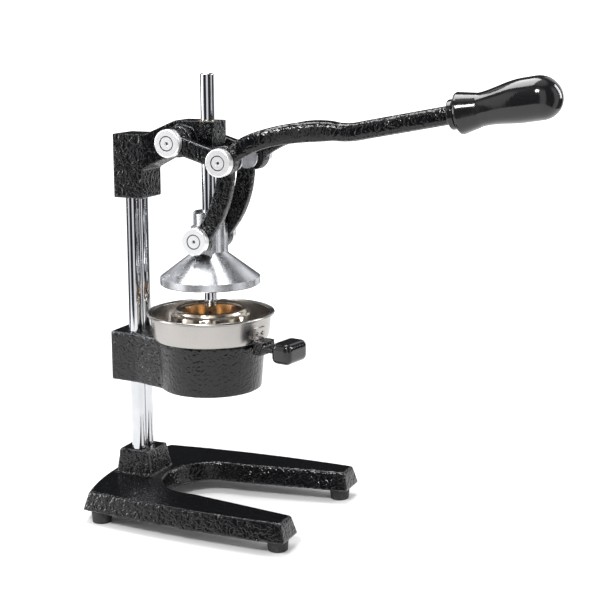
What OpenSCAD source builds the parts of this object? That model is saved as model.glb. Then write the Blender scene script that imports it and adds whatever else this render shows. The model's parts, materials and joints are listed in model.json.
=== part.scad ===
// Manual lever citrus press. A cast base and two columns carry a bowl holder and a head.
// A forked lever turns on the head and drives a sliding presser through two curved links.
// Millimetres. +Z is up, +X points to the user, and the origin is on the press axis at
// counter level. The presser is drawn half way down its stroke.

/* [Stand] */
// Distance from the column axes to the press axis
column_reach = 82; // [76:1:110]
// Diameter of each column
column_d = 14; // [10:0.5:17]
// Clear gap between the two columns
column_gap = 2.6; // [1:0.2:8]
// Height of the head's underside above the counter
head_z = 318.6; // [290:1:400]

/* [Base] */
// Width of the base at its widest
base_w = 182; // [150:1:230]
// How far the legs reach in front of the press axis
base_front = 117; // [90:1:150]
// How far the base's rear corners are behind the column axes
base_back = 14; // [10:1:40]
// Thickness of the base casting
base_t = 19; // [12:0.5:26]
// How far the sides lean out from the top to the bottom
base_draft = 5; // [1:0.5:8]
// Radius of the rear end of the gap between the legs
gap_r = 49; // [38:1:60]
// Width of each leg at its front end
leg_tip_w = 24; // [16:1:34]
// Height of the boss that holds the columns
boss_h = 25; // [15:1:40]
// Metal around the columns at the top of the boss
boss_wall = 2.6; // [2:0.2:8]
// Height of each rubber foot
foot_h = 13; // [6:0.5:20]
// Diameter of each rubber foot at the base
foot_d = 21; // [14:0.5:24]

/* [Bowl holder] */
// Height of the holder's underside above the counter
holder_z = 130; // [110:1:150]
// Height of the holder casting
holder_h = 51; // [40:1:65]
// Radius of the holder's bore
holder_bore_r = 46.3; // [38:0.5:52]
// Wall of the holder's ring at the top
holder_wall = 8.2; // [5:0.2:12]
// Wall of the holder's ring at the bottom
holder_foot_wall = 4; // [3:0.2:8]

/* [Head] */
// Length of the head's rear block, front to back
head_block_l = 33.6; // [26:0.5:45]
// Height of the head's rear block
head_block_h = 64; // [50:1:80]
// Width of the head's rear block
head_block_w = 37.4; // [36:0.5:50]
// Width of the nose that guides the rod
nose_w = 28.8; // [24:0.5:32]
// Height of the nose
nose_h = 26; // [18:0.5:36]
// How far the nose's top is above the rear block's top
nose_rise = 14.8; // [5:0.5:25]
// How far the nose reaches in front of the press axis
nose_front = 13; // [11:0.5:20]

/* [Linkage] */
// How far the lever's fulcrum is behind the press axis
fulcrum_back = 20; // [15:0.5:26]
// How far the fulcrum is below the top of the nose
fulcrum_drop = 20; // [16:0.5:26]
// Distance from the fulcrum to the lever's link pins
lever_throw = 57; // [50:0.5:66]
// Angle of that line below the horizontal
lever_rest = 17; // [5:0.5:25]
// Height of the presser's link pins above the counter
hub_pin_z = 281.5; // [275:0.5:300]
// Outer radius of the lever's and the links' eyes
eye_r = 13; // [11:0.5:15]
// Thickness of each cheek of the lever's fork
cheek_t = 12; // [8:0.5:16]
// Thickness of each link
link_t = 8; // [5:0.5:12]
// Width of each link between its eyes
link_w = 18; // [12:0.5:22]
// How far each link bows forward
link_bow = 9.5; // [0:0.5:14]
// Radius of the fulcrum pin
fulcrum_pin_r = 5; // [4:0.25:6]
// Radius of the shoulder pins in the presser's hub
hub_pin_r = 5; // [4:0.25:6]
// Radius of the lever's link pins
lever_pin_r = 4; // [3.5:0.25:4.5]
// Radius of the pivot caps
cap_r = 13.6; // [12:0.2:16]
// Thickness of the pivot caps
cap_t = 7; // [4:0.5:10]

/* [Lever] */
// How far the grip's front end is in front of the press axis
lever_reach = 352; // [300:1:420]
// Height of the straight arm above the lever's link pins at the grip
arm_rise = 48; // [30:1:70]
// Angle of the straight arm above the horizontal
arm_angle = 11; // [5:0.5:16]
// Diameter of the straight arm
arm_d = 17.6; // [14:0.2:20]
// Length of the lever's grip
grip_l = 99; // [80:1:130]
// Radius of the grip's belly
grip_r = 20.5; // [16:0.5:24]

/* [Presser] */
// Radius of the presser's bell
bell_r = 49.7; // [42:0.1:54]
// Height of the bell's lower edge above the counter
bell_z = 235; // [232:1:245]
// Height of the bell's upright rim
bell_lip_h = 8.4; // [4:0.2:12]
// Wall of the bell
bell_wall = 4; // [3:0.25:6]
// Radius of the presser's hub
hub_r = 16; // [14:0.25:17]
// Height of the hub above the link pins
hub_top = 26.5; // [20:0.5:32]
// Diameter of the guide rod
rod_d = 14; // [10:0.25:16]
// Diameter of the spindle below the hub
spindle_d = 12.4; // [8:0.2:13]
// How far the rod stands above the nose
rod_stand = 45.5; // [38:0.5:60]
// How far the spindle reaches below the bell
spindle_drop = 38; // [10:1:50]

/* [Bowl and strainer] */
// Radius of the bowl over its rolled rim
bowl_rim_r = 64; // [60:0.5:70]
// Height of the bowl's wall above the holder
bowl_h = 26; // [20:0.5:32]
// Wall of the bowl's and the strainer's sheet
sheet_t = 1.2; // [0.8:0.1:2]
// Radius of the bowl's outlet
outlet_r = 14; // [8:0.5:20]
// How far the outlet hangs below the holder
outlet_drop = 4; // [0:0.5:8]
// Height of the strainer's top above the bowl's rim
strainer_top = 3; // [0:0.5:4]
// Radius of the strainer's opening
strainer_open_r = 25.3; // [20:0.5:28]
// Direction that the bowl's handle points to, from straight ahead
handle_turn = -9.5; // [-30:0.5:30]
// Width of the bowl's grip
knob_w = 35; // [26:0.5:45]
// Length of the bowl's grip
knob_l = 22; // [16:0.5:32]
// Height of the bowl's grip
knob_h = 21; // [13:0.5:24]
// How far the bowl's handle is below the bowl's seat
handle_drop = 6; // [2:0.5:12]

/* [Hidden] */
$fn = 64;

// Clearances
fit = 0.02;            // radial, pieces fixed to each other
run = 0.06;            // radial, running fits
side = 0.15;           // each side, between faces that move past each other
slack = 0.3;           // between pieces of different bodies that only rest together
eps = 0.5;             // how far a cut runs past the face it opens

// Stand
column_r = column_d / 2;
column_y = (column_d + column_gap) / 2;
base_top = foot_h + base_t;
boss_top = base_top + boss_h;
boss_w = 2 * (column_y + column_r + boss_wall);
boss_l = column_d + 21;
boss_lean = 3.5;
rear_half = base_w / 2 - 9;
gap_x = -4;
rear_bow = 14;
side_bow = 5;
front_half = base_w / 2 - 1;
base_bevel = 1.5;
socket_depth = boss_h + base_t - 9;
bolt_r = column_r * 0.5;
bolt_head_r = bolt_r * 1.75;
bolt_head_h = bolt_r * 1.3;
bolt_seat = foot_h + bolt_head_h + 1.5;
washer_t = 1;
bolt_grip = 16;
column_top = head_z + head_block_h - 11;
foot_x = [base_front - 9, -column_reach - base_back + 10];
foot_y = [front_half - leg_tip_w / 2 - 1.5, rear_half - 6];
foot_screw_r = 2.4;
foot_screw_depth = 9;

// Bowl holder
holder_top = holder_z + holder_h;
holder_top_r = holder_bore_r + holder_wall;
holder_foot_r = holder_bore_r + holder_foot_wall;
holder_back = 24;
holder_rear_w = 2 * (column_y + column_r + 3);
set_screw_r = 3;
set_screw_l = 12;

// Head
head_top = head_z + head_block_h;
head_back = -column_reach - head_block_l / 2 + 1.2;
head_front = head_back + head_block_l;
nose_top = head_top + nose_rise;
nose_z = nose_top - nose_h;
nose_start = -29;
throat_z = head_z + 29;
rod_r = rod_d / 2;
bush_r = rod_r + 2.6;

// Pivots in the X-Z plane
A = [-fulcrum_back, nose_top - fulcrum_drop];
B = [A[0] + lever_throw * cos(lever_rest), A[1] - lever_throw * sin(lever_rest)];
C = [0, hub_pin_z];
// The links' upper eyes are the opened pivot. They are bored wide and stand off the pins
// at rest, so that the pins stay clear inside them over the whole stroke.
eye_shift = [-4, 1.6];
eye_play = 4.9;
E = B + eye_shift;
open_bore_r = lever_pin_r + eye_play;

// Stack of each side, measured out from the middle
pad_y = 17;
link_y0 = pad_y + 1;
link_y1 = link_y0 + link_t;
hub_cap_y = link_y1 + 0.6;
cheek_y0 = link_y1 + 1.4;
cheek_y1 = cheek_y0 + cheek_t;
cap_y = cheek_y1 + 0.8;
barrel_y = cheek_y0 - 1.4;
barrel_r = cap_r + 1.9;
lever_pin_y = link_y0 - 2.6;
lever_disc_r = open_bore_r + 2;
screw_head_r = 6.4;
screw_head_h = 2.2;
screw_r = 2.5;
screw_depth = 10;
socket_r = 2;

grip_axis_z = B[1] + arm_rise;
grip_start = [lever_reach - (grip_l + 7) * cos(arm_angle), 0, grip_axis_z];
merge_x = B[0] + 116;
merge_z = B[1] + 29.4;
collar_t = 6;
path_swell = 1;        // the swept path bows out by up to half of this before it turns in
collar_r = 14;
tang_r = 6;
grip_waist = grip_l * 0.23;
grip_belly = grip_l * 0.65;
grip_round = 21;
tang_l = 62;

// Presser
hub_top_z = C[1] + hub_top;
cone_top_z = bell_z + bell_lip_h + (bell_r - hub_r) * 0.73;
pad_half = 12;
pad_top_z = C[1] + 13;
shoulder_z = C[1] + 6;
spindle_r = spindle_d / 2;
rod_top = nose_top + rod_stand;
stud_r = 4;
stud_y = rod_r + 1.5;

// Bowl, from the seat up and down
seat_z = holder_top + slack;
rim_z = seat_z + bowl_h;
bead_r = 1.6;
wall_top_r = bowl_rim_r - 2 * bead_r - 0.3;
wall_foot_r = wall_top_r - 2;
wall_foot_z = seat_z + 3;
wall_lean = (wall_top_r - wall_foot_r) / (rim_z - bead_r - wall_foot_z);
throat_r = holder_bore_r - 0.8;
funnel_z = holder_top - 13;
spout_top = holder_z + 16;
spout_z = holder_z - outlet_drop;

// Strainer, from the bowl's floor up
floor_z = seat_z + sheet_t;
strainer_z = rim_z + strainer_top;
skirt_r = wall_foot_r - sheet_t - 1;
step_r = strainer_open_r + 14.7;
ring_r = strainer_open_r + 9.7;
skirt_top = floor_z + 6;
flange_top = floor_z + 13.5;
step_z = strainer_z - 5.5;
tube_z = floor_z + 5;
perforation_r = 1.3;
strainer_t = sheet_t * 0.8;

// Handle of the bowl
tab_h = 17;
tab_t = 1.6;
tab_angle = 15;
tab_z = seat_z - 1.5;
rivet_r = 1.2;
rivet_head_r = 2.2;
rivet_head_h = 1;
rivet_gap = 0.3;       // the heads are flat and the wall leans, so they stand off it
rivet_z = tab_z + tab_h - 6;
arm_w = 22;
arm_t = 4;
arm_z = seat_z - handle_drop;
arm_in = wall_foot_r + sheet_t + 1.2;
arm_foot = 4;
arm_top = seat_z + 3.4;
arm_block_l = 9;
knob_in = wall_foot_r + 25;
knob_round = 6;

// ---- shared shapes ----

// A cylinder along Y, from y0 to y1, through the point [x, z]
module rod_y(p, r, y0, y1) {
    translate([p[0], y0, p[1]]) rotate([-90, 0, 0]) cylinder(r = r, h = y1 - y0);
}

// A washer along Y
module washer_y(p, r, bore, y0, y1) {
    difference() {
        rod_y(p, r, y0, y1);
        rod_y(p, bore, y0 - eps, y1 + eps);
    }
}

// The same thing on both sides of the middle plane
module both_sides() {
    children();
    mirror([0, 1, 0]) children();
}

// Points of an arc from p to q that bows to the left by the height s
function bow(p, q, s, n) =
    let (d = q - p, c = norm(d), r = (c * c / 4 + s * s) / (2 * s), half = asin(c / (2 * r)),
         m = (p + q) / 2, left = [-d[1], d[0]] / c, centre = m - left * (r - s))
    [for (i = [0 : n]) let (a = half * (2 * i / n - 1))
        centre + left * r * cos(a) + d / c * r * sin(a)];

// Points of a circular arc
function arc(c, r, a0, a1, n) =
    [for (i = [0 : n]) let (a = a0 + (a1 - a0) * i / n) c + r * [cos(a), sin(a)]];

// A closed solid through rings of points that all have the same count
module loft(rings) {
    n = len(rings[0]);
    m = len(rings);
    polyhedron(
        points = [for (r = rings) each r],
        faces = concat(
            [for (i = [1 : n - 2]) [0, i, i + 1]],
            [for (k = [0 : m - 2]) for (i = [0 : n - 1]) let (j = (i + 1) % n)
                each [[k * n + i, (k + 1) * n + i, k * n + j],
                      [(k + 1) * n + i, (k + 1) * n + j, k * n + j]]],
            [for (i = [1 : n - 2]) [0, i + 1, i] + [1, 1, 1] * (m - 1) * n]));
}

// A point on the smooth curve through the list p, at t from 0 to len(p) - 1
function smooth(p, t) =
    let (i = min(floor(t), len(p) - 2), u = t - i,
         a = p[max(i - 1, 0)], b = p[i], c = p[i + 1], d = p[min(i + 2, len(p) - 1)])
    b + (c - a) * u / 2 + (a * 2 - b * 5 + c * 4 - d) * u * u / 2
      + (b * 3 - a - c * 3 + d) * u * u * u / 2;

// A bar with a rounded section swept along points of [x, y, z, width, height]
module bar(p, steps) {
    last = len(p) - 1;
    loft([for (k = [0 : steps])
        let (t = last * k / steps, c = smooth(p, t),
             d = smooth(p, min(t + 0.05, last)) - smooth(p, max(t - 0.05, 0)),
             along = [d[0], d[1], d[2]] / norm([d[0], d[1], d[2]]),
             across = cross([0, 0, 1], along) / norm(cross([0, 0, 1], along)),
             up = cross(along, across))
        [for (i = [0 : 15]) let (a = i * 22.5 + 0.01, w = cos(a), h = sin(a))
            [c[0], c[1], c[2]]
            + across * sign(w) * pow(abs(w), 0.7) * c[3] / 2
            + up * sign(h) * pow(abs(h), 0.7) * c[4] / 2]]);
}

// A hex socket screw head's recess along Z
module hex_socket(r, depth) {
    cylinder(r = r, h = depth, $fn = 6);
}

// ---- stand ----

// Outline of the base without its gap, grown outwards by g
function base_outline(g) =
    let (x0 = -column_reach - base_back - g, y0 = rear_half + g,
         x1 = base_front + g, y1 = front_half + g,
         rear = bow([x0, y0], [x0, -y0], -rear_bow, 14),
         right = bow([x0, -y0], [x1, -y1], -side_bow, 10),
         left = bow([x1, y1], [x0, y0], -side_bow, 10))
    concat(
        [for (i = [0 : 13]) rear[i]],
        right,
        [for (i = [0 : 9]) left[i]]);

// Outline of the gap between the legs, running out past their front ends
function gap_outline(g) =
    let (round_end = arc([gap_x, 0], gap_r - g, 82, 278, 24),
         tip = [base_front + g, front_half - leg_tip_w - g],
         out = tip + (tip - round_end[0]) * 0.2)
    concat([[out[0], out[1]]], round_end, [[out[0], -out[1]]]);

function lift(ring, z) = [for (p = ring) [p[0], p[1], z]];

module base_plate() {
    difference() {
        loft([
            lift(base_outline(base_draft), foot_h),
            lift(base_outline(0.6), base_top - base_bevel),
            lift(base_outline(-base_bevel + 0.6), base_top)]);
        loft([
            lift(gap_outline(base_draft + 0.2), foot_h - eps),
            lift(gap_outline(0.6), base_top - base_bevel),
            lift(gap_outline(-base_bevel), base_top + eps)]);
    }
}

module boss() {
    translate([-column_reach, 0, base_top - eps]) hull() {
        translate([-boss_l / 2 - boss_lean + 1, -boss_w / 2 - boss_lean, 0])
            cube([boss_l + 2 * boss_lean, boss_w + 2 * boss_lean, eps]);
        translate([-boss_l / 2, -boss_w / 2, boss_h])
            cube([boss_l, boss_w, eps]);
    }
}

module at_columns() {
    for (s = [-1, 1]) translate([-column_reach, s * column_y, 0]) children();
}

module at_feet() {
    for (i = [0, 1]) for (s = [-1, 1]) translate([foot_x[i], s * foot_y[i], 0]) children();
}

module base() {
    color([0.07, 0.07, 0.075]) difference() {
        union() {
            base_plate();
            boss();
        }
        at_columns() {
            translate([0, 0, boss_top - socket_depth])
                cylinder(r = column_r + fit, h = socket_depth + eps);
            translate([0, 0, foot_h - eps]) cylinder(r = bolt_r + 0.3, h = base_t + eps);
            translate([0, 0, foot_h - eps])
                cylinder(r = min(bolt_head_r + 0.7, column_y - 0.4), h = bolt_head_h + 1.5 + eps);
        }
        at_feet() translate([0, 0, foot_h - eps])
            cylinder(r = foot_screw_r + fit, h = foot_screw_depth + eps);
    }
}

module rubber_feet() {
    color([0.05, 0.05, 0.05]) at_feet() difference() {
        cylinder(r1 = foot_d / 2 - 1, r2 = foot_d / 2, h = foot_h);
        translate([0, 0, -eps]) cylinder(r = 4.6, h = foot_h - 5 + eps);
        cylinder(r = foot_screw_r + fit, h = foot_h + eps);
    }
}

module foot_screws() {
    color([0.7, 0.7, 0.72]) at_feet() difference() {
        union() {
            translate([0, 0, foot_h - 7.6]) cylinder(r = 4.2, h = 2.6);
            translate([0, 0, foot_h - 6]) cylinder(r = foot_screw_r, h = 5 + foot_screw_depth);
        }
        translate([0, 0, foot_h - 7.6 - eps]) cylinder(r = 1.4, h = 1.6 + eps, $fn = 6);
    }
}

module column(s) {
    color([0.82, 0.83, 0.85]) translate([-column_reach, s * column_y, 0]) difference() {
        translate([0, 0, boss_top - socket_depth])
            cylinder(r = column_r, h = column_top - boss_top + socket_depth);
        translate([0, 0, boss_top - socket_depth - eps])
            cylinder(r = bolt_r + fit, h = bolt_grip + eps + 1);
    }
}

module column_left() { column(1); }
module column_right() { column(-1); }

module column_bolts() {
    color([0.6, 0.6, 0.62]) at_columns() {
        translate([0, 0, bolt_seat - washer_t - bolt_head_h])
            cylinder(r = bolt_head_r * 0.93, h = bolt_head_h, $fn = 6);
        translate([0, 0, bolt_seat - washer_t - eps])
            cylinder(r = bolt_r, h = boss_top - socket_depth + bolt_grip - bolt_seat + washer_t + eps);
    }
}

module column_washers() {
    color([0.75, 0.75, 0.77]) at_columns() translate([0, 0, bolt_seat - washer_t]) difference() {
        cylinder(r = min(bolt_head_r + 0.4, column_y - 0.7), h = washer_t);
        translate([0, 0, -eps]) cylinder(r = bolt_r + 0.1, h = washer_t + 2 * eps);
    }
}

// A set screw along +X whose tip is at the origin
module set_screw(r, l) {
    rotate([0, -90, 0]) difference() {
        cylinder(r = r, h = l);
        translate([0, 0, l - 3]) hex_socket(r * 0.55, 3 + eps);
    }
}

module at_column_backs(z) {
    for (s = [-1, 1]) translate([-column_reach - column_r, s * column_y, z]) children();
}

module bowl_holder() {
    wedge_x = -column_reach - holder_back;
    color([0.07, 0.07, 0.075]) difference() {
        union() {
            translate([0, 0, holder_z])
                cylinder(r1 = holder_foot_r, r2 = holder_top_r, h = holder_h);
            translate([0, 0, holder_z]) linear_extrude(holder_h) difference() {
                offset(r = -26) offset(r = 26) union() {
                    circle(r = holder_foot_r);
                    polygon([
                        [wedge_x, -holder_rear_w / 2], [wedge_x, holder_rear_w / 2],
                        [-column_reach + column_r, holder_rear_w / 2 + 3],
                        [0, holder_foot_r - 6], [0, -holder_foot_r + 6],
                        [-column_reach + column_r, -holder_rear_w / 2 - 3]]);
                }
                translate([0, -2 * base_w]) square(4 * base_w);
            }
        }
        translate([0, 0, holder_z - eps]) cylinder(r = holder_bore_r, h = holder_h + 2 * eps);
        at_columns() translate([0, 0, holder_z - eps])
            cylinder(r = column_r + fit, h = holder_h + 2 * eps);
        at_column_backs(holder_z + holder_h / 2) rotate([0, -90, 0])
            cylinder(r = set_screw_r + fit, h = holder_back + eps);
    }
}

module holder_set_screws() {
    color([0.25, 0.25, 0.26]) at_column_backs(holder_z + holder_h / 2)
        set_screw(set_screw_r, set_screw_l);
}

// ---- head ----

module head_side() {
    rotate([90, 0, 0]) linear_extrude(head_block_w, center = true) polygon([
        [head_back, head_z], [head_front, head_z], [head_front, throat_z],
        [-17, nose_z], [nose_front, nose_z], [nose_front, nose_top],
        [nose_start, nose_top], [head_front + 2, head_top], [head_back, head_top]]);
}

module head_plan() {
    h = nose_top - head_z + 2 * eps;
    translate([0, 0, head_z - eps]) linear_extrude(h) polygon([
        [head_back - eps, -head_block_w / 2], [head_front, -head_block_w / 2],
        [nose_start, -nose_w / 2], [nose_front + eps, -nose_w / 2],
        [nose_front + eps, nose_w / 2], [nose_start, nose_w / 2],
        [head_front, head_block_w / 2], [head_back - eps, head_block_w / 2]]);
}

module head() {
    color([0.07, 0.07, 0.075]) difference() {
        union() {
            intersection() {
                head_side();
                head_plan();
            }
            rod_y(A, barrel_r, -barrel_y, barrel_y);
        }
        at_columns() translate([0, 0, head_z - eps])
            cylinder(r = column_r + fit, h = column_top - head_z + eps);
        cylinder(r = bush_r + fit, h = 2 * nose_top);
        rod_y(A, fulcrum_pin_r + fit, -barrel_y - eps, barrel_y + eps);
        at_column_backs(head_z + 32) rotate([0, -90, 0])
            cylinder(r = set_screw_r + fit, h = head_block_l);
    }
}

module head_set_screws() {
    l = -column_reach - column_r - head_back - 1;
    color([0.25, 0.25, 0.26]) at_column_backs(head_z + 32) set_screw(set_screw_r, l);
}

module rod_bush() {
    color([0.72, 0.55, 0.3]) translate([0, 0, nose_z + 0.2]) difference() {
        cylinder(r = bush_r, h = nose_h - 0.4);
        translate([0, 0, -eps]) cylinder(r = rod_r + run, h = nose_h + 2 * eps);
    }
}

// ---- pivots ----

// The cap of a pivot, with its flat inner face at y
module cap(p, y) {
    translate([p[0], y, p[1]]) rotate([-90, 0, 0]) rotate_extrude() polygon([
        [screw_r + fit, 0], [cap_r - 0.5, 0], [cap_r, 0.5], [cap_r, cap_t - 1],
        [cap_r - 1, cap_t], [screw_head_r + 0.5, cap_t],
        [screw_head_r + 0.5, cap_t - screw_head_h], [screw_r + fit, cap_t - screw_head_h]]);
}

// The screw that holds a cap to its pin
module cap_screw(p, y) {
    translate([p[0], y + cap_t, p[1]]) rotate([-90, 0, 0]) difference() {
        union() {
            translate([0, 0, -screw_head_h]) cylinder(r = screw_head_r, h = screw_head_h - 0.2);
            translate([0, 0, -cap_t - screw_depth + 0.5])
                cylinder(r = screw_r, h = cap_t + screw_depth - 1);
        }
        translate([0, 0, -1.6]) hex_socket(socket_r, 2);
    }
}

module tapped(p, y) {
    rod_y(p, screw_r + fit, y - screw_depth, y + eps);
}

module fulcrum_pin() {
    color([0.75, 0.76, 0.78]) difference() {
        rod_y(A, fulcrum_pin_r, -cap_y, cap_y);
        both_sides() tapped(A, cap_y);
    }
}

module fulcrum_washers() {
    color([0.1, 0.1, 0.1]) both_sides() {
        washer_y(A, eye_r, fulcrum_pin_r + fit, barrel_y, cheek_y0 - side);
        washer_y(A, eye_r, fulcrum_pin_r + fit, cheek_y1 + side, cap_y);
    }
}

module fulcrum_caps() {
    color([0.85, 0.86, 0.88]) both_sides() cap(A, cap_y);
}

module fulcrum_screws() {
    color([0.8, 0.81, 0.83]) both_sides() cap_screw(A, cap_y);
}

module lever_pins() {
    color([0.75, 0.76, 0.78]) both_sides() difference() {
        union() {
            rod_y(B, lever_disc_r, lever_pin_y, link_y0 - side);
            rod_y(B, lever_pin_r, lever_pin_y, cap_y);
        }
        tapped(B, cap_y);
    }
}

module lever_pin_washers() {
    color([0.1, 0.1, 0.1]) both_sides() {
        washer_y(B, lever_disc_r + 0.6, lever_pin_r + fit, link_y1 + side, cheek_y0);
        washer_y(B, eye_r, lever_pin_r + fit, cheek_y1, cap_y);
    }
}

module lever_pin_caps() {
    color([0.85, 0.86, 0.88]) both_sides() cap(B, cap_y);
}

module lever_pin_screws() {
    color([0.8, 0.81, 0.83]) both_sides() cap_screw(B, cap_y);
}

module hub_pins() {
    color([0.75, 0.76, 0.78]) both_sides() difference() {
        union() {
            rod_y(C, stud_r, stud_y, pad_y);
            rod_y(C, hub_pin_r, pad_y, hub_cap_y);
        }
        tapped(C, hub_cap_y);
    }
}

module hub_pin_washers() {
    color([0.1, 0.1, 0.1]) both_sides() {
        washer_y(C, eye_r - 3, hub_pin_r + fit, pad_y, link_y0 - side);
        washer_y(C, eye_r - 0.6, hub_pin_r + fit, link_y1 + side, hub_cap_y);
    }
}

module hub_pin_caps() {
    color([0.85, 0.86, 0.88]) both_sides() cap(C, hub_cap_y);
}

module hub_pin_screws() {
    color([0.8, 0.81, 0.83]) both_sides() cap_screw(C, hub_cap_y);
}

// ---- lever and links ----

// One cheek of the fork: the two eyes and the bar between them
module cheek() {
    d = (B - A) / norm(B - A);
    n = [-d[1], d[0]];
    rod_y(A, eye_r + 0.6, cheek_y0, cheek_y1);
    rod_y(B, eye_r + 0.6, cheek_y0, cheek_y1);
    translate([0, cheek_y1, 0]) rotate([90, 0, 0]) linear_extrude(cheek_t)
        polygon([A + n * 8.6, A - n * 8.6, B - n * 8.6, B + n * 8.6]);
}

// One arm of the fork, from the link pin to where the arms meet, on the side s
module fork_arm(s) {
    y = s * (cheek_y0 + cheek_y1) / 2;
    bar([
        [B[0], y, B[1], cheek_t - path_swell, 15],
        [B[0] + 20, y, B[1] + 14.5, cheek_t - path_swell, 18],
        [B[0] + 42, y * 0.84, B[1] + 23.5, cheek_t + 1, 18],
        [B[0] + 68, y * 0.48, B[1] + 28.5, cheek_t + 2, 19.5],
        [B[0] + 94, y * 0.17, B[1] + 29.9, cheek_t + 3, 19],
        [merge_x - 6, y * 0.06, merge_z, arm_d - 4, arm_d - 4]], 20);
}

module straight_arm() {
    x1 = grip_start[0];
    z1 = grip_start[2];
    bend = 22;
    bar([
        [merge_x - 22, 0, merge_z + 0.4, arm_d, arm_d + 1],
        [merge_x, 0, merge_z, arm_d, arm_d],
        [merge_x + bend, 0, z1 - (x1 - merge_x - bend) * tan(arm_angle), arm_d, arm_d],
        [x1 - 20, 0, z1 - 20 * tan(arm_angle), arm_d, arm_d],
        [x1, 0, z1, arm_d, arm_d]], 20);
}

module along_arm() {
    translate(grip_start) rotate([0, 90 - arm_angle, 0]) children();
}

module lever() {
    color([0.07, 0.07, 0.075]) difference() {
        union() {
            both_sides() cheek();
            for (s = [-1, 1]) fork_arm(s);
            straight_arm();
            along_arm() translate([0, 0, -4]) cylinder(r = tang_r, h = tang_l + 4);
        }
        rod_y(A, fulcrum_pin_r + run, -cheek_y1 - eps, cheek_y1 + eps);
        rod_y(B, lever_pin_r + fit, -cheek_y1 - eps, cheek_y1 + eps);
    }
}

module grip_collar() {
    color([0.08, 0.08, 0.08]) along_arm() translate([0, 0, 0.4]) rotate_extrude() polygon([
        [tang_r + fit, 0], [collar_r - 1, 0], [collar_r, 1], [collar_r, collar_t - 1],
        [collar_r - 1, collar_t], [tang_r + fit, collar_t]]);
}

// A value between a and b, level at both ends
function ease(a, b, t) = a + (b - a) * (1 - cos(180 * t)) / 2;

module lever_grip() {
    flange = grip_r - 1;
    waist = grip_r - 5;
    belly = grip_r - 0.6;
    color([0.04, 0.04, 0.045]) along_arm() translate([0, 0, collar_t + 0.6]) difference() {
        rotate_extrude() polygon(concat(
            [[0, 0], [flange - 5, 0], [flange - 0.8, 2]],
            [for (t = [0 : 0.125 : 1]) [ease(flange, waist, t), ease(4, grip_waist, t)]],
            [for (t = [0.1 : 0.1 : 1])
                [ease(waist, belly, t), grip_waist + (grip_belly - grip_waist) * t]],
            [for (a = [0 : 8 : 88]) [belly * cos(a), grip_l - grip_round * (1 - sin(a))]],
            [[0, grip_l]]));
        translate([0, 0, -eps]) cylinder(r = tang_r + fit, h = tang_l - collar_t);
    }
}

module link() {
    d = (E - C) / norm(E - C);
    n = [-d[1], d[0]];
    w = link_w / 2;
    outer = bow(C - n * w, E - n * w, -link_bow, 16);
    inner = bow(C + n * w, E + n * w, -link_bow, 16);
    difference() {
        union() {
            rod_y(C, eye_r, link_y0, link_y1);
            rod_y(E, eye_r, link_y0, link_y1);
            translate([0, link_y1, 0]) rotate([90, 0, 0]) linear_extrude(link_t)
                polygon(concat(outer, [for (i = [16 : -1 : 0]) inner[i]]));
        }
        rod_y(C, hub_pin_r + run, link_y0 - eps, link_y1 + eps);
        rod_y(E, open_bore_r, link_y0 - eps, link_y1 + eps);
    }
}

module link_left() {
    color([0.08, 0.08, 0.085]) link();
}

module link_right() {
    color([0.08, 0.08, 0.085]) mirror([0, 1, 0]) link();
}

// ---- presser ----

module presser() {
    lip_top = bell_z + bell_lip_h;
    inner_r = bell_r - bell_wall;
    color([0.75, 0.76, 0.77]) difference() {
        union() {
            rotate_extrude() polygon([
                [0, cone_top_z - bell_wall - 3], [hub_r - 1, cone_top_z - bell_wall - 3],
                [inner_r, bell_z + 3], [inner_r, bell_z], [bell_r - 0.8, bell_z],
                [bell_r, bell_z + 0.8], [bell_r, lip_top - 0.8], [bell_r - 1.2, lip_top],
                [hub_r, cone_top_z], [hub_r, hub_top_z - 1.5], [hub_r - 1.5, hub_top_z],
                [0, hub_top_z]]);
            translate([-pad_half, -pad_y, cone_top_z - 6])
                cube([2 * pad_half, 2 * pad_y, pad_top_z - cone_top_z + 6]);
        }
        translate([0, 0, bell_z]) cylinder(r = spindle_r + fit, h = hub_top_z);
        translate([0, 0, shoulder_z]) cylinder(r = rod_r + fit, h = hub_top_z);
        both_sides() rod_y(C, stud_r + fit, stud_y - fit, pad_y + eps);
        translate([0, 0, hub_top_z - 8]) rotate([0, -90, 0])
            cylinder(r = 2.5 + fit, h = hub_r + eps);
    }
}

module guide_rod() {
    color([0.85, 0.86, 0.88]) {
        translate([0, 0, bell_z - spindle_drop])
            cylinder(r = spindle_r, h = shoulder_z - bell_z + spindle_drop);
        translate([0, 0, shoulder_z]) cylinder(r = rod_r, h = rod_top - shoulder_z - 1);
        translate([0, 0, rod_top - 1]) cylinder(r1 = rod_r, r2 = rod_r - 1, h = 1);
    }
}

module hub_set_screw() {
    color([0.25, 0.25, 0.26]) translate([-rod_r, 0, hub_top_z - 8])
        set_screw(2.5, hub_r - rod_r - 0.5);
}

// ---- bowl ----

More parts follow.
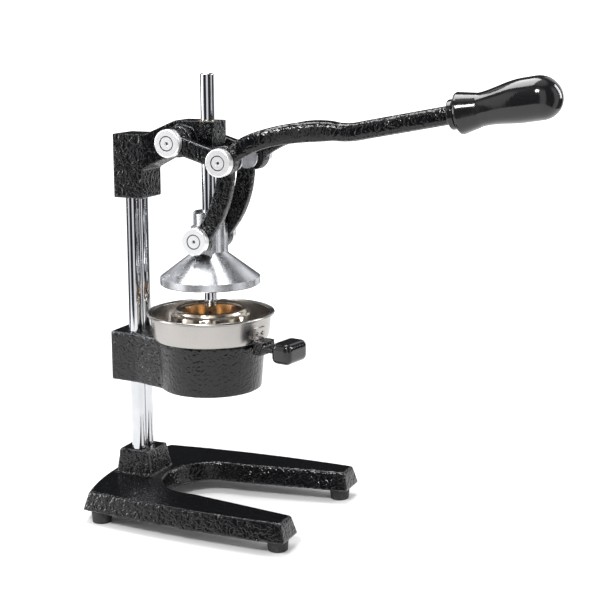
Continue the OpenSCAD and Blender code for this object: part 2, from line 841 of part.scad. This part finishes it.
module juice_bowl() {
    t = sheet_t;
    color([0.78, 0.78, 0.78]) difference() {
        union() {
            rotate_extrude() polygon([
                [wall_top_r, rim_z - bead_r], [wall_foot_r, wall_foot_z], [wall_foot_r - 1.4, seat_z],
                [throat_r, seat_z], [throat_r, funnel_z], [outlet_r, spout_top],
                [outlet_r, spout_z], [outlet_r - t, spout_z], [outlet_r - t, spout_top + t / 2],
                [throat_r - t, funnel_z + t / 2], [throat_r - t, floor_z], [wall_foot_r - 2, floor_z],
                [wall_foot_r - t, wall_foot_z + t / 2], [wall_top_r - t, rim_z - bead_r]]);
            rotate_extrude() translate([bowl_rim_r - bead_r, rim_z - bead_r]) circle(r = bead_r);
            rotate_extrude() polygon([
                [wall_top_r - t, rim_z - bead_r - 1], [wall_top_r, rim_z - bead_r - 1],
                [bowl_rim_r - bead_r, rim_z - bead_r - 0.6], [bowl_rim_r - bead_r, rim_z - 0.4],
                [wall_top_r - t, rim_z - bead_r + 0.6]]);
        }
        at_rivets() rivet_hole();
    }
}

function strainer_line() = [
    [skirt_r, floor_z], [skirt_r, skirt_top], [step_r + 1.5, flange_top],
    [step_r, flange_top + 1], [step_r, step_z], [ring_r + 1, step_z + 1.4],
    [ring_r, strainer_z - 1], [ring_r - 1.6, strainer_z], [ring_r - 5, strainer_z - 2.2],
    [strainer_open_r + 2, strainer_z - 1.2], [strainer_open_r + 0.4, strainer_z - 1.6],
    [strainer_open_r - 2, tube_z]];

// A closed outline of the sheet that lies to the left of a line of points
function sheet(line, t) =
    let (n = len(line) - 1,
         d = [for (i = [0 : n - 1]) (line[i + 1] - line[i]) / norm(line[i + 1] - line[i])],
         m = [for (i = [0 : n]) let (a = d[max(i - 1, 0)] + d[min(i, n - 1)]) a / norm(a)])
    concat(line, [for (i = [n : -1 : 0]) line[i] + [-m[i][1], m[i][0]] * t]);

module strainer() {
    color([0.75, 0.73, 0.68]) difference() {
        rotate_extrude() polygon(sheet(strainer_line(), strainer_t));
        for (i = [0 : 11]) rotate(i * 30 + 8) translate([0, 0, (flange_top + step_z) / 2 + 1])
            rotate([0, 90, 0]) cylinder(r = perforation_r, h = step_r + 3);
        for (i = [0 : 23]) rotate(i * 15)
            translate([(skirt_r + step_r) / 2, 0, floor_z]) cylinder(r = perforation_r, h = 20);
    }
}

// Outer radius of the bowl's wall at a height
function wall_r(z) = wall_foot_r + wall_lean * (z - wall_foot_z);

// Both rivets, with Z outwards from the wall's outer face
module at_rivets() {
    for (side_of = [-1, 1]) rotate(handle_turn + side_of * tab_angle / 4)
        translate([wall_r(rivet_z), 0, rivet_z]) rotate([0, 90, 0]) children();
}

module rivet_hole() {
    translate([0, 0, -4 * sheet_t]) cylinder(r = rivet_r + fit, h = 8 * sheet_t);
}

module handle_tab() {
    z1 = tab_z + tab_h;
    color([0.8, 0.8, 0.8]) difference() {
        rotate(handle_turn - tab_angle / 2) rotate_extrude(angle = tab_angle) polygon([
            [wall_r(tab_z) + fit, tab_z], [wall_r(tab_z) + tab_t, tab_z],
            [wall_r(z1) + tab_t, z1], [wall_r(z1) + fit, z1]]);
        at_rivets() rivet_hole();
    }
}

module tab_rivets() {
    inner = -sheet_t - rivet_gap;
    outer = tab_t + rivet_gap;
    color([0.7, 0.7, 0.7]) at_rivets() {
        translate([0, 0, inner - rivet_head_h]) cylinder(r = rivet_head_r, h = rivet_head_h);
        translate([0, 0, inner - rivet_head_h / 2])
            cylinder(r = rivet_r, h = outer - inner + rivet_head_h);
        translate([0, 0, outer]) cylinder(r = rivet_head_r, h = rivet_head_h);
    }
}

// The bracket lies against the tab's outer face, and the plate runs out from it into the knob
module handle_arm() {
    z0 = arm_z - arm_foot - eps;
    z1 = arm_top + eps;
    seat_r = tab_t + 2 * fit;
    color([0.06, 0.06, 0.06]) difference() {
        rotate(handle_turn) union() {
            translate([wall_foot_r - 2, -arm_w / 2, arm_z - arm_foot])
                cube([arm_in + arm_block_l - wall_foot_r + 2, arm_w, arm_top - arm_z + arm_foot]);
            translate([arm_in, -arm_w / 2, arm_z])
                cube([knob_in + knob_l - 5 - arm_in, arm_w, arm_t]);
        }
        rotate_extrude() polygon([
            [0, z0], [wall_r(z0) + seat_r, z0], [wall_r(z1) + seat_r, z1], [0, z1]]);
        rotate(handle_turn) translate([knob_in + knob_l / 2 - 3, 0, arm_z - eps])
            cylinder(r = 1.5 + fit, h = arm_t + 2 * eps);
    }
}

module bowl_knob() {
    k = knob_round;
    z0 = arm_z + arm_t / 2 - knob_h / 2;
    color([0.03, 0.03, 0.035]) rotate(handle_turn) difference() {
        hull() for (x = [k, knob_l - k]) for (y = [-1, 1]) for (z = [k, knob_h - k])
            translate([knob_in + x, y * (knob_w / 2 - k), z0 + z]) sphere(r = k, $fn = 32);
        translate([knob_in - eps, -arm_w / 2 - 0.1, arm_z - 0.1])
            cube([knob_l - 5 + eps + 0.1, arm_w + 0.2, arm_t + 0.2]);
        translate([knob_in + knob_l / 2 - 3, 0, z0 - eps])
            cylinder(r = 1.5 + fit, h = arm_z - z0 + arm_t + 4);
        translate([knob_in + knob_l / 2 - 3, 0, z0 - eps]) cylinder(r = 3.2, h = 2.5 + eps);
    }
}

module knob_screw() {
    z0 = arm_z + arm_t / 2 - knob_h / 2;
    color([0.6, 0.6, 0.62]) rotate(handle_turn) translate([knob_in + knob_l / 2 - 3, 0, z0]) {
        difference() {
            translate([0, 0, 0.5]) cylinder(r = 3, h = 2);
            hex_socket(1.2, 1.6);
        }
        translate([0, 0, 2.3]) cylinder(r = 1.5, h = arm_z - z0 + arm_t);
    }
}

base();
rubber_feet();
foot_screws();
column_left();
column_right();
column_bolts();
column_washers();
bowl_holder();
holder_set_screws();
head();
head_set_screws();
rod_bush();
fulcrum_pin();
fulcrum_washers();
fulcrum_caps();
fulcrum_screws();
lever();
lever_pins();
lever_pin_washers();
lever_pin_caps();
lever_pin_screws();
grip_collar();
lever_grip();
link_left();
link_right();
presser();
guide_rod();
hub_set_screw();
hub_pins();
hub_pin_washers();
hub_pin_caps();
hub_pin_screws();
juice_bowl();
strainer();
handle_tab();
tab_rivets();
handle_arm();
bowl_knob();
knob_screw();
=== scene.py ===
"""Citrus press: finishes and detail around the fixed frame of the press."""

import json
import math

import bpy
from bpy.props import FloatProperty, FloatVectorProperty, IntProperty, PointerProperty
from mathutils import Euler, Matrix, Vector


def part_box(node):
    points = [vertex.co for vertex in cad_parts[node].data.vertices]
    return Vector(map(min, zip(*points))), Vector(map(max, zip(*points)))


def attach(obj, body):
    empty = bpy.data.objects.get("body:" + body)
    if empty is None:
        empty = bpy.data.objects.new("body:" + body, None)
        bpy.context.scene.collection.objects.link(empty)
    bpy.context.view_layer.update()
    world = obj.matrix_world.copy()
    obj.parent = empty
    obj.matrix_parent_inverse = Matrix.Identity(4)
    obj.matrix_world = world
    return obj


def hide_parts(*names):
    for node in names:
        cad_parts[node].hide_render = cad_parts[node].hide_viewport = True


bl_info = {
    "name": "Citrus press",
    "version": (1, 0, 0),
    "blender": (4, 5, 0),
    "location": "View3D > Sidebar > Press",
    "description": "Dresses the frame of a lever citrus press",
    "category": "Add Mesh",
}

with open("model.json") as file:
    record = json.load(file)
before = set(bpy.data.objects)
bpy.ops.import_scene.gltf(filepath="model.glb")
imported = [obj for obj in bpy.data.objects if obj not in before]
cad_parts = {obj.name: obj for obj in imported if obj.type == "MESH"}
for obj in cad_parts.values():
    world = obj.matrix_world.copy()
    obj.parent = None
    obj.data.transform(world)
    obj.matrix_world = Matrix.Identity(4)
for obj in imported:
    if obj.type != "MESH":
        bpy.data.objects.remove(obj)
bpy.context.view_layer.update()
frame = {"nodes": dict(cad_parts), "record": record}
record = frame["record"]
NODE_BODY = {n: b for b, nodes in record["behaviour"]["bodies"].items() for n in nodes}
MM = 0.001
WELD = 0.01 * MM  # loose corners closer than this are one corner
FLAT = math.radians(0.5)  # faces that meet below this are one face
CREASE = math.radians(32)  # sharper edges stay sharp when shaded
CORNER = math.radians(40)  # sharper edges are broken with a bevel
AREA_WEIGHT = 60  # how far large faces lead the shading of their edges
SOCKET = 1.7 * MM  # radius of the hexagon socket in a pivot screw
SOCKET_DEPTH = 1.6 * MM


# ---- small helpers ----


def only(obj):
    """Selects one object and nothing else."""
    if bpy.context.object and bpy.context.object.mode != "OBJECT":
        bpy.ops.object.mode_set(mode="OBJECT")
    bpy.ops.object.select_all(action="DESELECT")
    obj.select_set(True)
    bpy.context.view_layer.objects.active = obj


def in_edit_mode(obj, step):
    """Runs one edit mode step on the whole of a mesh."""
    only(obj)
    bpy.ops.object.mode_set(mode="EDIT")
    bpy.ops.mesh.select_all(action="SELECT")
    step()
    bpy.ops.object.mode_set(mode="OBJECT")
    return obj


def modify(obj, kind, **settings):
    """Adds a modifier and applies it."""
    only(obj)
    m = obj.modifiers.new(kind.title(), kind)
    for key, value in settings.items():
        setattr(m, key, value)
    bpy.ops.object.modifier_apply(modifier=m.name)


def merged_copy(node, name):
    """A joined-up copy of a node's loose triangles, as a new piece."""
    obj = bpy.data.objects.new(name, frame["nodes"][node].data.copy())
    bpy.context.scene.collection.objects.link(obj)
    return in_edit_mode(obj, lambda: bpy.ops.mesh.remove_doubles(threshold=WELD))


def settle(obj, node, finish):
    """Gives a piece its finish, and lets it stand for its node."""
    obj.data.materials.clear()
    obj.data.materials.append(finish)
    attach(obj, NODE_BODY[node])
    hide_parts(node)
    return obj


def middle(node):
    low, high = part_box(node)
    return (low + high) / 2


def shade(colour, factor):
    return tuple(v * factor for v in colour)


# ---- shader maths ----


class Value:
    """A socket that takes part in sums."""

    def __init__(self, make, socket):
        self.make, self.socket = make, socket

    def maths(self, operation, a, b=None):
        values = {0: a} if b is None else {0: a, 1: b}
        return self.make("Math", dict(operation=operation), values)

    def __add__(self, other):
        return self.maths("ADD", self, other)

    def __sub__(self, other):
        return self.maths("SUBTRACT", self, other)

    def __rsub__(self, other):
        return self.maths("SUBTRACT", other, self)

    def __mul__(self, other):
        return self.maths("MULTIPLY", self, other)

    def of(self, operation, other=None):
        return self.maths(operation, self, other)

    def step(self, low, high):
        """0 below low, 1 above high, smooth between them."""
        settings = dict(interpolation_type="SMOOTHSTEP")
        return self.make("MapRange", settings, {0: self, 1: low, 2: high})


class Finish:
    """A node material, or the world when it is given one."""

    def __init__(self, name, world=None):
        self.owner = world or bpy.data.materials.new(name)
        self.owner.use_nodes = True
        self.tree = self.owner.node_tree
        self.tree.nodes.clear()

    def raw(self, kind, settings, values):
        node = self.tree.nodes.new("ShaderNode" + kind)
        for key, value in settings.items():
            setattr(node, key, value)
        for key, value in values.items():
            if isinstance(value, Value):
                self.tree.links.new(value.socket, node.inputs[key])
            else:
                node.inputs[key].default_value = value
        return node

    def __call__(self, kind, settings=None, values=None, out=0):
        node = self.raw(kind, settings or {}, values or {})
        return Value(self, node.outputs[out])

    def place(self):
        return self("TexCoord", out="Object")

    def noise(self, scale, at=None, detail=3.0, **more):
        values = {"Vector": at or self.place(), "Scale": scale, "Detail": detail}
        values.update({k.title(): v for k, v in more.items()})
        return self("TexNoise", {}, values)

    def stretched(self, sizes):
        return self("Mapping", {}, {"Vector": self.place(), "Scale": sizes})

    def mix(self, factor, a, b):
        """From a to b, each a colour or a socket."""
        a, b = ((*c, 1) if isinstance(c, tuple) else c for c in (a, b))
        return self("Mix", dict(data_type="RGBA"), {0: factor, 6: a, 7: b}, out=2)

    def bump(self, height, depth, strength=1.0):
        return self("Bump", {}, {"Height": height, "Distance": depth, "Strength": strength})

    def edges(self):
        """1 on outer edges, where pointiness is over its flat value of a half."""
        return self("NewGeometry", out="Pointiness").step(0.515, 0.56)

    def surface(self, values):
        shader = self("BsdfPrincipled", {}, values)
        end = self.raw("OutputMaterial", {}, {})
        self.tree.links.new(shader.socket, end.inputs["Surface"])
        return self.owner

    def radius(self, centre, axis):
        """Distance from a line through centre, along an axis letter."""
        parts = self.raw("SeparateXYZ", {}, {0: self.place()})
        across = [i for i, letter in enumerate("XYZ") if letter != axis]
        sums = [Value(self, parts.outputs[i]) - centre[i] for i in across]
        return (sums[0] * sums[0] + sums[1] * sums[1]).of("SQRT")


# ---- finishes: noise scales are in spots to the metre ----

AXIS = (0, 0, 0)  # a point on the axis of the rod and the bowl
FACING = 260  # marks left by facing or rolling metal
BARE_IRON = (0.16, 0.165, 0.175)
# colour of the painted shade in the pivot grooves and screw sockets
GROOVE_SHADE_BLACK = (0.03, 0.03, 0.032)
WARM_STEEL = (0.62, 0.40, 0.20)


def hammered_enamel(look):
    m = Finish("hammered_enamel")
    warp = m.noise(150, detail=2.0)
    moved = m("VectorMath", dict(operation="MULTIPLY_ADD"),
              {0: warp, 1: (0.004, 0.004, 0.004), 2: m.place()})
    cells = m("TexVoronoi", dict(feature="SMOOTH_F1"),
              {"Vector": moved, "Scale": look.grain, "Smoothness": 0.6})
    strings = m.noise(look.grain * 0.9, moved, detail=1.5, roughness=0.5)
    ridge = (1 - (strings - 0.5).of("ABSOLUTE") * 6).of("MAXIMUM", 0.0)
    height = cells * 0.45 + ridge * 0.45
    worn = m.edges() * m.noise(70, detail=4.0).step(0.42, 0.6)
    body = m.mix(height.step(0.2, 0.9), tuple(look.enamel), shade(look.enamel, 2))
    return m.surface({
        "Base Color": m.mix(worn * 0.55, body, BARE_IRON),
        "Roughness": m.noise(60, detail=3.0) * 0.10 + 0.12 - worn * 0.03,
        "Metallic": worn * 0.5,
        "Specular IOR Level": 0.40,
        "Normal": m.bump(height, look.grain_depth * MM)})


def chrome():
    m = Finish("bright_chrome")
    haze = m.noise(45, detail=5.0)
    lines = m.noise(900, m.stretched((1, 1, 0.05)), detail=2.0)
    return m.surface({
        "Base Color": m.mix(haze.step(0.3, 0.8), (0.50, 0.51, 0.53), (0.60, 0.60, 0.62)),
        "Metallic": 1.0,
        "Roughness": haze * 0.05 + lines * 0.03 + 0.025,
        "Normal": m.bump(lines, 0.004 * MM)})


def turned_steel(name, centre, colour, groove):
    """Faced steel, with painted shade: dark in the groove around its screw and in the screw's
    socket.
    """
    m = Finish(name)
    r = m.radius(centre, "Y")
    # line is painted shade: a dark ring in the groove round the screw head, and the screw's
    # socket painted black
    line = (1 - (r - groove).of("ABSOLUTE").step(0.35 * MM, 0.75 * MM)).of(
        "MAXIMUM", 1 - r.step(SOCKET * 0.85, SOCKET))
    marks = m.noise(FACING, detail=2.0)
    face = m.mix(marks, shade(colour, 0.95), colour)
    return m.surface({
        "Base Color": m.mix(line, face, GROOVE_SHADE_BLACK),
        "Metallic": 0.85 - line * 0.5,
        "Roughness": marks * 0.05 + 0.30,
        "Normal": m.bump(marks, 0.004 * MM)})


def plain_metal(name, colour, metallic, rough):
    m = Finish(name)
    marks = m.noise(FACING, detail=4.0)
    return m.surface({
        "Base Color": m.mix(marks.step(0.3, 0.7), shade(colour, 0.8), colour),
        "Metallic": metallic,
        "Roughness": marks * 0.2 + rough,
        "Normal": m.bump(marks, 0.02 * MM)})


def cast_aluminium():
    m = Finish("polished_casting")
    cloud = m.noise(55, detail=6.0, roughness=0.65)
    pits = m.noise(700, detail=3.0)
    r = m.radius(AXIS, "Z")
    rings = (r * 5200 + cloud * 9).of("SINE")
    dull = cloud.step(0.40, 0.72)
    return m.surface({
        "Base Color": m.mix(dull, (0.60, 0.61, 0.63), (0.44, 0.45, 0.47)),
        "Metallic": 1.0,
        "Roughness": dull * 0.10 + pits * 0.06 + 0.22,
        "Normal": m.bump(cloud * 0.3 + pits * 0.2 + rings * 0.05, 0.035 * MM)})


def stainless(name, tint, warmth, warm_radius):
    """Polished sheet, warmer inside a radius about the press axis."""
    m = Finish(name)
    brushed = m.noise(FACING, m.stretched((0.15, 0.15, 1)), detail=2.0)
    near = 1 - m.radius(AXIS, "Z").step(warm_radius * 0.75, warm_radius)
    cloud = m.noise(18, detail=2.0)
    return m.surface({
        "Base Color": m.mix(near * warmth + cloud * 0.10, tint, WARM_STEEL),
        "Metallic": 1.0,
        "Roughness": brushed * 0.06 + cloud * 0.04 + 0.20,
        "Normal": m.bump(brushed, 0.002 * MM)})


def gloss_plastic(look):
    m = Finish("black_gloss")
    peel = m.noise(190, detail=2.0)
    rub = m.noise(34, detail=6.0, roughness=0.7).step(0.5, 0.75)
    scratches = m.noise(600, m.stretched((0.06, 1, 1)), detail=2.0).step(0.62, 0.72)
    return m.surface({
        "Base Color": m.mix(rub, tuple(look.plastic), shade(look.plastic, 2)),
        "Roughness": rub * 0.10 + scratches * 0.08 + 0.13,
        "Specular IOR Level": 0.35,
        "Coat Weight": 0.25,
        "Coat Roughness": 0.07,
        "Normal": m.bump(peel, 0.05 * MM, 0.6)})


def rubber():
    m = Finish("matt_rubber")
    grit = m.noise(1400, detail=3.0)
    dust = m.noise(80, detail=4.0).step(0.5, 0.75)
    return m.surface({
        "Base Color": m.mix(dust, (0.012, 0.012, 0.012), (0.045, 0.044, 0.042)),
        "Roughness": grit * 0.2 + 0.62,
        "Normal": m.bump(grit, 0.03 * MM)})


# ---- settings ----


class PressLook(bpy.types.PropertyGroup):
    voxel: FloatProperty(name="Casting detail", description="Size of a casting's faces",
                         default=0.0012, min=0.0006, max=0.004, unit="LENGTH")
    soften: IntProperty(name="Casting softness", description="Rounding passes on the castings",
                        default=5, min=0, max=20)
    edge: FloatProperty(name="Machined edge", description="Width of the edge on machined pieces",
                        default=0.00035, min=0.0001, max=0.001, unit="LENGTH")
    grain: FloatProperty(name="Enamel grain", description="Hammered spots in each metre",
                         default=230, min=100, max=1500)
    grain_depth: FloatProperty(name="Enamel relief", description="Depth of the spots in mm",
                               default=0.55, min=0.0, max=3.0)
    enamel: FloatVectorProperty(name="Enamel", description="Colour of the castings",
                                subtype="COLOR", default=(0.0014, 0.0015, 0.0018),
                                min=0, max=1)
    plastic: FloatVectorProperty(name="Grip", description="Colour of the grip and knob",
                                 subtype="COLOR", default=(0.0060, 0.0060, 0.0066),
                                 min=0, max=1)
    grip_lift: FloatProperty(name="Grip belly", description="How far the grip's end swells up",
                             default=0.0020, min=0, max=0.006, unit="LENGTH")


class PressStage(bpy.types.PropertyGroup):
    floor_size: FloatProperty(name="Floor", description="Width of the floor",
                              default=1.7, min=1, max=60, unit="LENGTH")
    floor_colour: FloatVectorProperty(name="Floor colour", description="Pale floor",
                                      subtype="COLOR", default=(0.62, 0.62, 0.62), min=0, max=1)
    glow: FloatProperty(name="Studio glow", description="Light from all round",
                        default=1.06, min=0, max=10)
    panel_turn: FloatProperty(name="Panel turn", description="Where the bright panels stand",
                              default=0.9, min=0, max=6.3)
    lens: FloatProperty(name="Lens", description="Focal length in mm", default=81.1,
                        min=20, max=200)


# ---- operators ----


def mould(obj, voxel, passes):
    """Rebuilds a piece in even faces and rounds its edges."""
    modify(obj, "REMESH", mode="VOXEL", voxel_size=voxel, use_smooth_shade=True)
    modify(obj, "SMOOTH", factor=0.5, iterations=passes)


FINE_CASTINGS = ("head", "link_left", "link_right", "handle_arm")
CASTINGS = ("base", "bowl_holder", "head", "lever", "link_left", "link_right", "handle_arm")
FINE_SHARE = 0.75  # of the voxel, on the smaller castings
KNOB_SHARE = 0.6


class CastingsOperator(bpy.types.Operator):
    """Makes the enamelled castings with soft moulded edges"""

    bl_idname = "press.castings"
    bl_label = "Castings"

    def execute(self, context):
        look = context.scene.press_look
        enamel = hammered_enamel(look)
        for node in CASTINGS:
            obj = merged_copy(node, "cast_" + node)
            size = look.voxel * (FINE_SHARE if node in FINE_CASTINGS else 1)
            mould(obj, size, look.soften)
            settle(obj, node, enamel)
        return {"FINISHED"}


def sink_sockets(obj, node):
    """Sinks a six-sided socket into the outer face of each of a pair of screws."""
    low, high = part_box(node)
    for y in (low.y, high.y):
        bpy.ops.object.select_all(action="DESELECT")
        bpy.ops.mesh.primitive_cylinder_add(
            vertices=6, radius=SOCKET, depth=SOCKET_DEPTH * 2, rotation=(math.pi / 2, 0, 0),
            location=((low.x + high.x) / 2, y, (low.z + high.z) / 2))
        tool = bpy.context.object
        modify(obj, "BOOLEAN", operation="DIFFERENCE", object=tool, solver="EXACT")
        bpy.data.objects.remove(tool)


def machined(node, finish, edge, segments=2):
    """A machined piece: its node's shape, its edges broken unless edge is 0."""
    obj = merged_copy(node, "fine_" + node)
    in_edit_mode(obj, lambda: bpy.ops.mesh.dissolve_limited(angle_limit=FLAT))
    if edge:
        modify(obj, "BEVEL", width=edge, segments=segments, limit_method="ANGLE",
               angle_limit=CORNER, use_clamp_overlap=True)
    only(obj)
    bpy.ops.object.shade_smooth_by_angle(angle=CREASE)
    modify(obj, "WEIGHTED_NORMAL", keep_sharp=True, weight=AREA_WEIGHT)
    return settle(obj, node, finish)


class ChromeOperator(bpy.types.Operator):
    """Makes the plated columns and the guide rod"""

    bl_idname = "press.chrome"
    bl_label = "Columns and rod"

    def execute(self, context):
        look = context.scene.press_look
        finish = chrome()
        for node in ("column_left", "column_right", "guide_rod"):
            machined(node, finish, look.edge * 2, 3)
        return {"FINISHED"}


PLATED = ("fulcrum_pin", "lever_pins", "hub_pins", "foot_screws", "column_bolts",
          "column_washers", "knob_screw")
SET_SCREWS = ("holder_set_screws", "head_set_screws", "hub_set_screw")


class PivotsOperator(bpy.types.Operator):
    """Makes the pivot caps, pins, washers and screws"""

    bl_idname = "press.pivots"
    bl_label = "Pivots"

    def execute(self, context):
        look = context.scene.press_look
        black = plain_metal("black_oxide", (0.022, 0.022, 0.024), 0.5, 0.32)
        zinc = plain_metal("zinc_plate", (0.56, 0.57, 0.60), 1.0, 0.26)
        bronze = plain_metal("bearing_bronze", (0.55, 0.37, 0.17), 1.0, 0.30)
        for stem in ("fulcrum", "lever_pin", "hub_pin"):
            centre = middle(stem + "_caps")
            low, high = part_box(stem + "_screws")
            # radius of the ring of painted shade in the groove just outside the screw head
            groove = (high.z - low.z) / 2 + 0.5 * MM
            bright = turned_steel(stem + "_turned", centre, (0.93, 0.93, 0.94), groove)
            machined(stem + "_caps", bright, look.edge * 1.5, 3)
            screws = machined(stem + "_screws", bright, look.edge * 0.6)
            sink_sockets(screws, stem + "_screws")
            machined(stem + "_washers", black, look.edge * 0.6)
        for node in PLATED:
            machined(node, zinc, 0)
        for node in SET_SCREWS:
            machined(node, black, 0)
        machined("rod_bush", bronze, look.edge)
        machined("rubber_feet", rubber(), look.edge * 3, 3)
        return {"FINISHED"}


class PresserOperator(bpy.types.Operator):
    """Makes the cast bell that presses the fruit"""

    bl_idname = "press.presser"
    bl_label = "Presser"

    def execute(self, context):
        look = context.scene.press_look
        machined("presser", cast_aluminium(), look.edge * 2, 3)
        return {"FINISHED"}


class BowlOperator(bpy.types.Operator):
    """Makes the juice bowl, the strainer and the handle's tab"""

    bl_idname = "press.bowl"
    bl_label = "Bowl and strainer"

    def execute(self, context):
        look = context.scene.press_look
        sheet = stainless("bowl_steel", (0.36, 0.355, 0.35), 0.10, 0.050)
        warm = stainless("strainer_steel", (0.50, 0.45, 0.38), 0.85, 0.034)
        machined("juice_bowl", sheet, 0)
        machined("strainer", warm, 0)
        machined("handle_tab", sheet, look.edge)
        machined("tab_rivets", sheet, look.edge)
        return {"FINISHED"}


BELLY_START = 0.25  # share of the grip's length before its belly
BELLY_RISE = 0.8  # share of grip_lift reached at the top of the belly


class GripOperator(bpy.types.Operator):
    """Makes the lever's grip and collar, and the bowl's knob"""

    bl_idname = "press.grip"
    bl_label = "Grip and knob"

    def execute(self, context):
        look = context.scene.press_look
        finish = gloss_plastic(look)
        grip = machined("lever_grip", finish, look.edge)
        low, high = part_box("lever_grip")
        reach = high.x - low.x
        for v in grip.data.vertices:
            along = max((v.co.x - low.x) / reach - BELLY_START, 0) / (1 - BELLY_START)
            v.co.z += look.grip_lift * math.sin(min(along, 1) * math.pi) * BELLY_RISE
        machined("grip_collar", finish, look.edge)
        knob = merged_copy("bowl_knob", "fine_bowl_knob")
        mould(knob, look.voxel * KNOB_SHARE, look.soften * 5)
        settle(knob, "bowl_knob", finish)
        return {"FINISHED"}


SEAT = Vector((0.6254, -1.1749, 0.4930))  # where the camera stands
AIM = Euler((math.radians(80.15), 0, math.radians(22.39)))
SHIFT = (-0.0689, -0.0742)  # of the lens
LIT_POINT = (0, 0, 0.22)  # half way up the press, on its axis
LIGHTS = (  # name, place, size, watts
    ("key", (0.2, -1.5, 1.6), (0.5, 0.35), 34),
    ("top", (-0.3, 0.2, 1.7), (1.1, 0.8), 26),
    ("side", (-1.5, -0.8, 0.7), (0.4, 1.2), 16),
    ("edge", (1.3, 0.9, 0.9), (0.4, 1.0), 14))


def area_light(name, place, size, watts):
    """A panel of light that faces the press."""
    data = bpy.data.lights.new(name, "AREA")
    data.shape = "RECTANGLE"
    data.size, data.size_y = size
    data.energy = watts
    obj = bpy.data.objects.new(name, data)
    obj.location = place
    way = Vector(LIT_POINT) - Vector(place)
    obj.rotation_euler = way.to_track_quat("-Z", "Y").to_euler()
    bpy.context.scene.collection.objects.link(obj)


def studio_world(stage):
    """White to the eye, with soft dark panels that only polished metal shows."""
    w = Finish("", bpy.data.worlds.new("studio"))
    parts = w.raw("SeparateXYZ", {}, {0: w("TexCoord", out="Generated")})
    x, y, z = (Value(w, parts.outputs[i]) for i in range(3))
    turn = y.of("ARCTAN2", x)
    panels = (turn * 5 + stage.panel_turn).of("SINE").step(0.10, 0.55)
    panels = (panels * (1 - z.step(0.55, 0.85))).of("MAXIMUM", z.step(0.86, 0.97) * 0.8)
    tone = w.mix(panels, (0.03, 0.031, 0.034), (1.05, 1.06, 1.08))
    glossy = w("LightPath", out="Is Glossy Ray")
    seen = w("LightPath", out="Is Camera Ray")
    colour = w.mix(glossy, (1, 1, 1), tone)
    light = w("Background", {}, {"Color": colour, "Strength": seen * 0.6 + stage.glow})
    end = w.raw("OutputWorld", {}, {})
    w.tree.links.new(light.socket, end.inputs["Surface"])
    bpy.context.scene.world = w.owner


class StageOperator(bpy.types.Operator):
    """Lays the floor and sets the lights and the camera"""

    bl_idname = "press.stage"
    bl_label = "Stage"

    def execute(self, context):
        stage = context.scene.press_stage
        bpy.ops.object.select_all(action="DESELECT")
        bpy.ops.mesh.primitive_plane_add(size=stage.floor_size)
        floor = context.object
        floor.name = "floor"
        m = Finish("pale_floor")
        cloud = m.noise(3, detail=2.0)
        tone = tuple(stage.floor_colour)
        floor.data.materials.append(m.surface({
            "Base Color": m.mix(cloud, tone, shade(tone, 0.985)),
            "Roughness": 0.75}))
        studio_world(stage)
        for light in LIGHTS:
            area_light(*light)
        camera = bpy.data.objects.new("camera", bpy.data.cameras.new("camera"))
        camera.data.lens = stage.lens
        camera.data.shift_x, camera.data.shift_y = SHIFT
        camera.data.clip_start, camera.data.clip_end = 0.05, 50
        camera.location, camera.rotation_euler = SEAT, AIM
        context.scene.collection.objects.link(camera)
        context.scene.camera = camera
        context.scene.view_settings.view_transform = "Standard"
        return {"FINISHED"}


STEPS = (CastingsOperator, ChromeOperator, PivotsOperator, PresserOperator, BowlOperator,
         GripOperator, StageOperator)


class PressPanel(bpy.types.Panel):
    bl_idname = "VIEW3D_PT_press"
    bl_label = "Citrus press"
    bl_space_type = "VIEW_3D"
    bl_region_type = "UI"
    bl_category = "Press"

    def draw(self, context):
        for group in (context.scene.press_look, context.scene.press_stage):
            box = self.layout.box()
            for key in group.bl_rna.properties.keys():
                if key not in ("rna_type", "name"):
                    box.prop(group, key)
        for step in STEPS:
            self.layout.operator(step.bl_idname)


CLASSES = (PressLook, PressStage, *STEPS, PressPanel)


def register():
    for cls in CLASSES:
        bpy.utils.register_class(cls)
    bpy.types.Scene.press_look = PointerProperty(type=PressLook)
    bpy.types.Scene.press_stage = PointerProperty(type=PressStage)


def unregister():
    del bpy.types.Scene.press_stage, bpy.types.Scene.press_look
    for cls in reversed(CLASSES):
        bpy.utils.unregister_class(cls)


def main():
    register()
    for step in STEPS:
        group, action = step.bl_idname.split(".")
        getattr(getattr(bpy.ops, group), action)()


if __name__ == "__main__":
    main()
